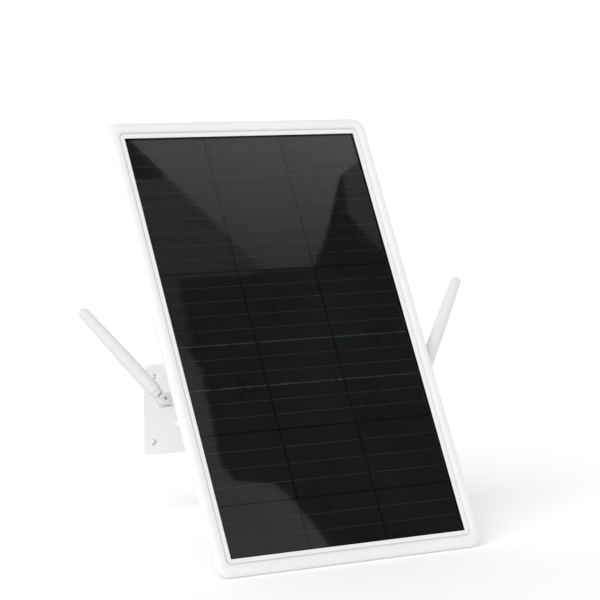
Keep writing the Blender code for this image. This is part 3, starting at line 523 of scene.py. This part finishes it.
def build_front_frame():
    """The moulded surround, with the rim's rounding carried by a smooth section."""
    low, high = box_in(PANEL, "front_frame")
    half_x, half_z = (high.x - low.x) / 2, (high.z - low.z) / 2
    middle = (low.z + high.z) / 2
    rings = []
    for inset, depth, radius in FRAME_SECTION:
        outline = rounded_rectangle(half_x - inset * MM, half_z - inset * MM,
                                    radius * MM, FRAME_CORNER_SEGMENTS)
        place = min(depth * MM, high.y)
        rings.append([(x, place, z + middle) for x, z in outline])
    mesh = loft("front_frame_fine", rings, True, 50.0)
    stands_for(show("front_frame_fine", mesh, "frame_white", PANEL), "front_frame")


def slab(name, low, high, radius, edge, segments=6):
    """A flat plate with rounded corners and a small rounded edge."""
    half_x, half_z = (high.x - low.x) / 2, (high.z - low.z) / 2
    centre_x, middle = (low.x + high.x) / 2, (low.z + high.z) / 2
    rings = []
    stations = [(low.y, edge), (low.y + 0.3 * edge, 0.3 * edge), (low.y + edge, 0.0),
                (high.y - edge, 0.0), (high.y - 0.3 * edge, 0.3 * edge), (high.y, edge)]
    for depth, inset in stations:
        outline = rounded_rectangle(half_x - inset, half_z - inset, radius - inset, segments)
        rings.append([(x + centre_x, depth, z + middle) for x, z in outline])
    return loft(name, rings)


def build_laminate():
    """Glass, cells and backing as fine slabs in panel space."""
    for node, radius, edge in (("solar_glass", 3.8, 0.4), ("backsheet", 3.8, 0.1)):
        low, high = box_in(PANEL, node)
        mesh = slab(node + "_fine", low, high, radius * MM, edge * MM)
        stands_for(show(node + "_fine", mesh, slot_of[node], PANEL), node)
    for node in sorted(name for name in nodes if name.startswith("solar_cell")):
        low, high = box_in(PANEL, node)
        mesh = slab(node + "_fine", low, high, 1.2 * MM, 0.06 * MM, 3)
        stands_for(show(node + "_fine", mesh, "silicon", PANEL), node)


WIRES_PER_ROW = (9, 10, 3, 2)            # top row of cells first
RIBBONS = ((2, 5), (2, 8))               # row and wire of the wide ones
WIRE_WIDTH, RIBBON_WIDTH = 0.5 * MM, 1.5 * MM
WIRE_RISE, WIRE_LIFT = 0.12 * MM, 0.03 * MM      # of its dome, and off the cell's face
WIRE_END_GAP = 0.6 * MM                  # from a wire's end to the edge of its cell


def wire_ends(low_x, high_x, height, depth, half_width):
    """The two end outlines of a flattened wire along X, domed toward the front."""
    outline = [(-half_width, 0.0)]
    outline += [(-half_width * math.cos(math.radians(angle)),
                 -WIRE_RISE * math.sin(math.radians(angle)))
                for angle in (30, 60, 90, 120, 150)]
    outline += [(half_width, 0.0)]
    return [[(x, depth + across, height + up) for up, across in outline]
            for x in (low_x, high_x)]


def build_wires():
    """Collector wires over each column of cells, with the two wide ribbons."""
    for column in range(1, 4):
        vertices, faces = [], []
        for row, count in enumerate(WIRES_PER_ROW, 1):
            low, high = box_in(PANEL, "solar_cell_%d_%d" % (row, column))
            for wire in range(1, count + 1):
                height = high.z - (high.z - low.z) * wire / (count + 1)
                width = RIBBON_WIDTH if (row, wire) in RIBBONS else WIRE_WIDTH
                ends = wire_ends(low.x + WIRE_END_GAP, high.x - WIRE_END_GAP, height,
                                 low.y - WIRE_LIFT, width / 2)
                start = len(vertices)
                size = len(ends[0])
                for end in ends:
                    vertices.extend(end)
                for index in range(size):
                    after = (index + 1) % size
                    faces.append((start + index, start + after, start + size + after,
                                  start + size + index))
                faces.append(tuple(start + index for index in range(size)))
                faces.append(tuple(start + size + index for index in range(size)))
        name = "cell_wires_%d" % column
        piece = show(name, mesh_from(name, vertices, faces), "wire_silver", PANEL)
        add_trim(piece, "solar_cell_1_%d" % column)


# ---- antennas --------------------------------------------------------------
def joint_space(name, up_axis=None):
    """Space at a fold joint: Y back along its axis, Z along up_axis or square to X."""
    joint = joints[name]
    depth_axis = Vector(joint["axis"]).normalized()
    if depth_axis.y < 0:
        depth_axis.negate()
    z_axis = (up_axis or Vector((1, 0, 0)).cross(depth_axis)).normalized()
    x_axis = depth_axis.cross(z_axis)
    matrix = Matrix((x_axis, depth_axis, z_axis)).transposed().to_4x4()
    matrix.translation = Vector(joint["pos_m"])
    return matrix


def rod_direction(node, pivot):
    """Along an antenna rod, from its pivot to the middle of its far end."""
    points = [vertex.co for vertex in nodes[node].data.vertices]
    far = max(points, key=lambda point: (point - pivot).length)
    length = (far - pivot).length
    tip = [point for point in points if (point - pivot).length > length - 1.5 * MM]
    return sum(tip, Vector()) / len(tip) - pivot


def eye_outline(radius, reach, half_width):
    """A round eye about the origin, with a straight shank along X."""
    start = math.degrees(math.asin(half_width / radius))
    return arc((0, 0), radius, start, 360 - start, 24) + [(reach, -half_width),
                                                          (reach, half_width)]


def extruded(name, outline, low, high):
    """An outline in X and Z carried along Y."""
    rings = [[(x, y, z) for x, z in outline] for y in (low, high)]
    return loft(name, rings)


def merge(target, mesh, operation, matrix):
    """Boolean the mesh into the target and apply it, leaving no guide behind."""
    guide = bpy.data.objects.new("guide", mesh)
    bpy.context.collection.objects.link(guide)
    guide.matrix_world = matrix
    modifier = target.modifiers.new("merge", "BOOLEAN")
    modifier.operation = operation
    modifier.object = guide
    bpy.context.view_layer.update()
    depsgraph = bpy.context.evaluated_depsgraph_get()
    result = bpy.data.meshes.new_from_object(target.evaluated_get(depsgraph))
    target.modifiers.remove(modifier)
    target.data = result
    bpy.data.objects.remove(guide)
    bpy.data.meshes.remove(mesh)


ROD_TIP_RADIUS, ROD_ROOT_RADIUS = 5.7 * MM, 7.9 * MM
ROD_SHOULDER = 8.4 * MM                  # from the pin to where the round rod begins
EYE_RADIUS, EYE_HALF_WIDTH, EYE_HALF_DEPTH = 6.0 * MM, 5.2 * MM, 2.5 * MM
FORK_RADIUS, FORK_HALF_DEPTH, FORK_REACH = 6.5 * MM, 6.1 * MM, 13 * MM
SLOT_HALF_DEPTH, SLOT_BACK, SLOT_FRONT = 2.8 * MM, 8.3 * MM, 30 * MM
SLOT_HALF_HEIGHT = 12 * MM
PIN_HOLE_RADIUS, PIN_HOLE_HALF = 1.9 * MM, 9 * MM
COLLAR_RADIUS, COLLAR_LENGTH = 6.85 * MM, 9.2 * MM
SOCKET_RADIUS = 3.6 * MM                 # of the collar's recess for the jack
KNURL_START, KNURL_END = 1.6 * MM, 8.2 * MM
KNURL_RIDGES, KNURL_DEPTH = 24, 0.035    # round the collar, and as a share of its radius


def finish_antenna_piece(piece, space, edge, node):
    """Bore the pin's hole along Y and round the edges."""
    hole = turned("hole", [(0, -PIN_HOLE_HALF), (PIN_HOLE_RADIUS, -PIN_HOLE_HALF),
                           (PIN_HOLE_RADIUS, PIN_HOLE_HALF), (0, PIN_HOLE_HALF)], 24)
    merge(piece, hole, "DIFFERENCE", space @ Matrix.Rotation(math.radians(-90), 4, "X"))
    round_edges(piece, edge, 3, 40.0).harden_normals = True
    stands_for(piece, node)


def build_rod(side):
    """The tapered rod, turned about the line from the pin to its tip, with a flat eye."""
    node, joint = "antenna_rod_" + side, "antenna_%s_fold" % side
    space = joint_space(joint, rod_direction(node, Vector(joints[joint]["pos_m"])))
    length = box_in(space, node)[1].z
    dome_start = length - ROD_TIP_RADIUS
    profile = rounded_profile([
        (0.0, ROD_SHOULDER), (5.9 * MM, ROD_SHOULDER), (6.5 * MM, ROD_SHOULDER + 0.8 * MM),
        (6.7 * MM, ROD_SHOULDER + 4.4 * MM), (7.4 * MM, ROD_SHOULDER + 5.2 * MM),
        (ROD_ROOT_RADIUS, ROD_SHOULDER + 6.8 * MM),
        (ROD_ROOT_RADIUS - 0.45 * MM, 0.5 * length),
        (ROD_TIP_RADIUS + 0.35 * MM, length - 1.8 * ROD_TIP_RADIUS),
        (ROD_TIP_RADIUS + 0.05 * MM, dome_start)], 1.0 * MM, 4)
    profile += arc((0, dome_start), ROD_TIP_RADIUS, 8, 84, 9)
    profile.append((0.0, length))
    rod = show("antenna_rod_%s_fine" % side, turned("rod", profile, 56, None, 50.0),
               "antenna_white", space)
    tongue = extruded("tongue", eye_outline(EYE_RADIUS, ROD_SHOULDER + 3 * MM, EYE_HALF_WIDTH),
                      -EYE_HALF_DEPTH, EYE_HALF_DEPTH)
    merge(rod, tongue, "UNION", space @ Matrix.Rotation(math.radians(-90), 4, "Y"))
    finish_antenna_piece(rod, space, 0.35 * MM, node)


def build_base(side, sign):
    """The swivelling base along X: knurled collar with its socket, neck and fork."""
    node, space = "antenna_base_" + side, joint_space("antenna_%s_fold" % side)
    low, high = box_in(space, node)
    start = low.x if sign > 0 else -high.x
    shoulder = start + COLLAR_LENGTH

    def knurl(angle, height):
        within = start + KNURL_START < height < start + KNURL_END
        ridge = abs(math.sin(KNURL_RIDGES / 2 * angle)) if within else 0.0
        return 1.0 - KNURL_DEPTH * ridge

    steps = [start + 1.7 * MM + 6.4 * MM * step / 6 for step in range(7)]
    profile = [(0.0, shoulder), (SOCKET_RADIUS, shoulder), (SOCKET_RADIUS, start),
               (6.2 * MM, start), (6.8 * MM, start + 0.5 * MM),
               (COLLAR_RADIUS, start + 1.4 * MM)]
    profile += [(COLLAR_RADIUS, height) for height in steps]
    profile += [(COLLAR_RADIUS, start + 8.5 * MM), (6.8 * MM, shoulder),
                (FORK_RADIUS, start + 10 * MM), (FORK_RADIUS, -11 * MM), (0.0, -11 * MM)]
    outward = Matrix.Rotation(math.radians(90 * sign), 4, "Y")
    base = show("antenna_base_%s_fine" % side, turned("base", profile, 72, knurl, 45.0),
                "antenna_white", space @ outward)
    fork = extruded("fork", eye_outline(FORK_RADIUS, FORK_REACH, FORK_RADIUS),
                    -FORK_HALF_DEPTH, FORK_HALF_DEPTH)
    toward_jack = Matrix.Rotation(math.radians(90 + 90 * sign), 4, "Y")
    merge(base, fork, "UNION", space @ toward_jack)
    back, front = sorted((-sign * SLOT_BACK, sign * SLOT_FRONT))
    slot = extruded("slot", [(back, -SLOT_HALF_HEIGHT), (front, -SLOT_HALF_HEIGHT),
                             (front, SLOT_HALF_HEIGHT), (back, SLOT_HALF_HEIGHT)],
                    -SLOT_HALF_DEPTH, SLOT_HALF_DEPTH)
    merge(base, slot, "DIFFERENCE", space)
    finish_antenna_piece(base, space, 0.3 * MM, node)


# ---- carried-over nodes ------------------------------------------------------
def dress_cad_nodes():
    """Every CAD node still shown gets its slot's material."""
    for name, node in nodes.items():
        node.data.materials.clear()
        node.data.materials.append(MATERIALS[slot_of[name]])
        node.data.shade_smooth()
        node.data.set_sharp_from_angle(angle=math.radians(35))


# ---- studio --------------------------------------------------------------------
HORIZON_LIGHT, ZENITH_LIGHT = 1.18, 0.45
FLOOR_HALF = 14.0
FLOOR_GAP = 0.4 * MM                     # under the panel's lower edge
FLOOR_GLOW = 0.085
FLAG_DISTANCE = 0.8                      # from the glass to the scrims before it


def build_dome():
    """A white tent, brightest round the horizon and dimmer overhead."""
    world = bpy.data.worlds.new("studio")
    world.use_nodes = True
    tree = world.node_tree
    background = tree.nodes["Background"]
    background.inputs["Color"].default_value = (1, 1, 1, 1)
    direction = tree.nodes.new("ShaderNodeTexCoord")
    split = tree.nodes.new("ShaderNodeSeparateXYZ")
    tree.links.new(direction.outputs["Generated"], split.inputs[0])
    ramp = tree.nodes.new("ShaderNodeMapRange")
    tree.links.new(split.outputs["Z"], ramp.inputs["Value"])
    for name, value in (("From Min", 0.05), ("From Max", 1.0), ("To Min", HORIZON_LIGHT),
                        ("To Max", ZENITH_LIGHT)):
        ramp.inputs[name].default_value = value
    tree.links.new(ramp.outputs[0], background.inputs["Strength"])
    bpy.context.scene.world = world


def mirrored_camera():
    """Where the camera's image stands behind the glass."""
    in_panel = PANEL_INVERSE @ camera.location
    depth = box_in(PANEL, "solar_glass")[0].y
    return Vector((in_panel.x, 2 * depth - in_panel.y, in_panel.z))


def add_flag(name, outline, passed_high, passed_low):
    """A graded scrim before the panel, which only shows as a reflection in the glass.

    The outline is given across and down the window, as shares of its width and height, and
    is carried out to the scrim along the lines on which the camera sees it mirrored.
    The light passed goes from one share at the outline's top to the other at its bottom.
    """
    low, high = box_in(PANEL, "front_frame")
    glass_depth = box_in(PANEL, "solar_glass")[0].y
    eye = mirrored_camera()
    reach = (eye.y - glass_depth + FLAG_DISTANCE) / (eye.y - glass_depth)
    vertices = []
    for across, down in outline:
        x = low.x + GLASS_BORDER + across * (high.x - low.x - 2 * GLASS_BORDER)
        z = high.z - GLASS_BORDER - down * (high.z - low.z - 2 * GLASS_BORDER)
        vertices.append(eye + (Vector((x, glass_depth, z)) - eye) * reach)
    heights = [vertex.z for vertex in vertices]
    mesh = bpy.data.meshes.new(name)
    mesh.from_pydata(vertices, [], [tuple(range(len(vertices)))])
    flag = bpy.data.objects.new(name, mesh)
    bpy.context.collection.objects.link(flag)
    flag.matrix_world = PANEL
    graph = Graph(name, (0, 0, 0), 1.0)
    graph.tree.nodes.remove(graph.shader)
    passed = graph.spread(graph.axis(2), passed_low, passed_high, min(heights), max(heights))
    scrim = graph.add("ShaderNodeBsdfTransparent", Color=passed)
    graph.set(graph.output.inputs["Surface"], scrim.outputs[0])
    mesh.materials.append(graph.material)
    for ray in ("camera", "diffuse", "transmission", "volume_scatter", "shadow"):
        setattr(flag, "visible_" + ray, False)


OUTSIDE = 1.03                           # just past the window's right and lower edges
BEFORE = -0.03                           # just past its left and upper edges
ROOM_SHARE = 0.4                         # light passed all round the window, for other views
SLANT = [(0.025, 0.0), (0.135, 0.088), (0.444, 0.335)]
NOTCH = [(0.665, 0.335), (0.72, 0.29), (0.77, 0.245), (0.81, 0.2), (0.84, 0.165),
         (0.88, 0.12), (0.91, 0.1), (0.895, 0.155), (0.885, 0.2), (0.92, 0.25),
         (0.97, 0.29), (1.0, 0.31), (OUTSIDE, 0.31)]
STEP = [(0.035, 0.5), (0.075, 0.56), (0.07, 0.66), (0.06, 0.78), (0.1, 0.825), (0.25, 0.84),
        (0.3, 0.87), (0.35, 0.92), (0.4, 0.975), (0.425, OUTSIDE)]


def window_box(left, top, right, bottom):
    return [(left, top), (right, top), (right, bottom), (left, bottom)]


FLAGS = {                                # outline, share passed at its top and bottom
    "flag_sky": (SLANT + NOTCH[:7] + [(OUTSIDE, 0.06), (OUTSIDE, BEFORE), (BEFORE, BEFORE)],
                 0.9, 0.29),
    "flag_right": (NOTCH[6:] + [(OUTSIDE, 0.06)], 0.28, 0.2),
    "flag_corner": ([(BEFORE, BEFORE), SLANT[0], SLANT[1], (0.12, 0.1), (BEFORE, 0.1)],
                    0.03, 0.03),
    "flag_left": ([(BEFORE, 0.1), (0.12, 0.1), SLANT[1], SLANT[2], (0.4, 0.345),
                   (BEFORE, 0.345)], 0.26, 0.19),
    "flag_side": ([(BEFORE, 0.345), (0.075, 0.345), (0.07, 0.5), (BEFORE, 0.5)], 0.19, 0.19),
    "flag_foot": ([(BEFORE, 0.5)] + STEP + [(BEFORE, OUTSIDE)], 0.33, 0.48),
    "flag_dark": ([(0.07, 0.5), (0.075, 0.345), (0.4, 0.345), SLANT[2]] + NOTCH
                  + [(OUTSIDE, OUTSIDE)] + STEP[::-1], 0.03, 0.03),
    "room_left": (window_box(-4, -3, BEFORE, 4), ROOM_SHARE, ROOM_SHARE),
    "room_right": (window_box(OUTSIDE, -3, 5, 4), ROOM_SHARE, ROOM_SHARE),
    "room_high": (window_box(BEFORE, -3, OUTSIDE, BEFORE), ROOM_SHARE, ROOM_SHARE),
    "room_low": (window_box(BEFORE, OUTSIDE, OUTSIDE, 4), ROOM_SHARE, ROOM_SHARE),
}


def build_floor():
    """A white, faintly glowing table that meets the panel's lower edge."""
    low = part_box("front_frame")[0]
    mesh = bpy.data.meshes.new("floor")
    corners = [(-FLOOR_HALF, -FLOOR_HALF), (FLOOR_HALF, -FLOOR_HALF),
               (FLOOR_HALF, FLOOR_HALF), (-FLOOR_HALF, FLOOR_HALF)]
    mesh.from_pydata([(x, y, low[2] - FLOOR_GAP) for x, y in corners], [], [(0, 1, 2, 3)])
    floor = bpy.data.objects.new("floor", mesh)
    bpy.context.collection.objects.link(floor)
    graph = Graph("floor", (0.95, 0.95, 0.95), 0.7, specular=0.1)
    tone = graph.mix(graph.noise(0.6, 2.0), (0.945, 0.945, 0.945), (0.955, 0.955, 0.955))
    mesh.materials.append(graph.shade(Base_Color=tone))
    graph.shader.inputs["Emission Color"].default_value = (1, 1, 1, 1)
    graph.shader.inputs["Emission Strength"].default_value = FLOOR_GLOW


SUNS = {                                 # energy, width in degrees, direction of its light
    "key": (1.15, 35.0, (0.62, 0.3, -0.72)),
    "side": (0.25, 50.0, (0.45, 0.85, -0.25)),
}


def add_suns():
    """Two broad soft lights, left out of reflections."""
    for name, (energy, angle, direction) in SUNS.items():
        data = bpy.data.lights.new(name, "SUN")
        data.energy = energy
        data.angle = math.radians(angle)
        light = bpy.data.objects.new(name, data)
        light.rotation_euler = Vector(direction).to_track_quat("-Z", "Y").to_euler()
        light.visible_glossy = False
        bpy.context.collection.objects.link(light)


def build_studio():
    build_floor()
    build_dome()
    for name, (outline, passed_high, passed_low) in FLAGS.items():
        add_flag(name, outline, passed_high, passed_low)
    add_suns()
    view = bpy.context.scene.view_settings
    view.view_transform = "Standard"
    view.look = "None"


dress_cad_nodes()
build_front_frame()
build_laminate()
build_wires()
for hard_node, edge_width in REFINED.items():
    build_refined(hard_node, edge_width * MM)
for antenna_side, antenna_sign in (("left", -1), ("right", 1)):
    build_rod(antenna_side)
    build_base(antenna_side, antenna_sign)
build_studio()
